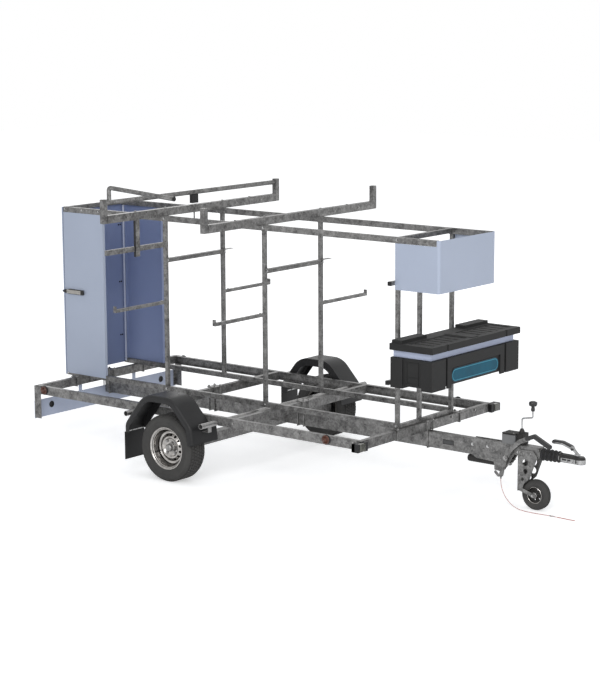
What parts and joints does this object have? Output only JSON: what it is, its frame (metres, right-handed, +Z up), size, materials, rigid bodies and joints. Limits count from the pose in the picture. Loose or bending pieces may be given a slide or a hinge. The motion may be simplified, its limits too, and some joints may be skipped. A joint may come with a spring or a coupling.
{
  "type": "scaffolding trailer",
  "caption": "Single-axle braked trailer with a tall open scaffold rack, rear cabinet, front toolbox, roof beams with a clamp roller, ball coupling and jockey wheel.",
  "frame": {"origin": "on the ground under the middle of the trailer's overall length and width, with the cable left out", "axes": "+X forward to the coupling, +Y to the trailer's left, +Z up"},
  "size_m": [4.887, 2.164, 2.264],
  "materials": {
    "galvanised_steel": "hot-dip galvanised, spangled",
    "bright_steel": "zinc plated",
    "panel_blue": "smooth powder coat",
    "tyre_rubber": "moulded",
    "wheel_silver": "silver lacquer",
    "dark_iron": "black paint",
    "black_plastic": "grained",
    "black_rubber": "smooth",
    "collar_blue": "smooth",
    "sign_blue": "printed plate, blank",
    "amber_lens": "moulded lens",
    "red_lens": "moulded lens",
    "smoked_lens": "moulded lens",
    "chromed": "bright",
    "cable_red": "sheathed"
  },
  "bodies": {
    "trailer": {"spine": "galvanised_steel", "cross_beams": "galvanised_steel", "side_rails": "galvanised_steel", "clamps": "galvanised_steel", "axle": "galvanised_steel", "rack_posts": "galvanised_steel", "low_rails": "galvanised_steel", "top_rails": "galvanised_steel", "rack_laterals": "galvanised_steel", "angle_bars": "galvanised_steel", "front_bars": "galvanised_steel", "side_arms": "galvanised_steel", "hanger": "galvanised_steel", "roof_beams": "galvanised_steel", "overrun_housing": "galvanised_steel", "winch_box": "galvanised_steel", "brake_lever": "galvanised_steel", "guard_tubes": "bright_steel", "door_hinges": "bright_steel", "cabinet_sides": "panel_blue", "front_fairing": "panel_blue", "rear_board": "panel_blue", "damper": "dark_iron", "door_latch": "black_plastic", "toolbox_body": "black_plastic", "mudguards": "black_plastic", "crank": "black_plastic", "bar_caps": "black_plastic", "brake_grip": "black_plastic", "bellows": "black_rubber", "toolbox_neck": "collar_blue", "sign_plate": "sign_blue", "side_lamps": "amber_lens", "rear_lamps": "red_lens", "front_lamps": "smoked_lens", "coupling_head": "chromed", "coupling_handle": "chromed", "cable": "cable_red", "cable_clip": "cable_red"},
    "wheel_right": {"tyre_right": "tyre_rubber", "rim_right": "wheel_silver", "brake_drum_right": "dark_iron"},
    "wheel_left": {"tyre_left": "tyre_rubber", "rim_left": "wheel_silver", "brake_drum_left": "dark_iron"},
    "roof_clamp": {"clamp_roller": "galvanised_steel", "roller_pad": "black_rubber"},
    "door": {"rear_door": "panel_blue"},
    "lid": {"toolbox_lid": "black_plastic"},
    "jockey_leg": {"jockey_frame": "galvanised_steel"},
    "jockey_wheel": {"jockey_tyre": "tyre_rubber", "jockey_rim": "wheel_silver"}
  },
  "joints": [
    {"name": "wheel_right_spin", "type": "hinge", "parent": "trailer", "child": "wheel_right", "pos_m": [-0.6655, -0.968, 0.264], "axis": [0, 1, 0], "continuous": true},
    {"name": "wheel_left_spin", "type": "hinge", "parent": "trailer", "child": "wheel_left", "pos_m": [-0.6655, 0.968, 0.264], "axis": [0, 1, 0], "continuous": true},
    {"name": "roof_clamp_turn", "type": "hinge", "parent": "trailer", "child": "roof_clamp", "pos_m": [-1.2775, 0, 2.131], "axis": [0, -1, 0], "range_deg": [0, 100]},
    {"name": "door_hinge", "type": "hinge", "parent": "trailer", "child": "door", "pos_m": [-2.4355, 0.376, 1.25], "axis": [0, 0, -1], "range_deg": [0, 180]},
    {"name": "lid_hinge", "type": "hinge", "parent": "trailer", "child": "lid", "pos_m": [1.1385, 0, 1.1753], "axis": [0, -1, 0], "range_deg": [0, 85]},
    {"name": "jockey_swing", "type": "hinge", "parent": "trailer", "child": "jockey_leg", "pos_m": [1.9345, 0, 0.41], "axis": [0, -1, 0], "range_deg": [0, 35]},
    {"name": "jockey_wheel_spin", "type": "hinge", "parent": "jockey_leg", "child": "jockey_wheel", "pos_m": [2.0415, 0, 0.113], "axis": [0, 1, 0], "continuous": true}
  ]
}
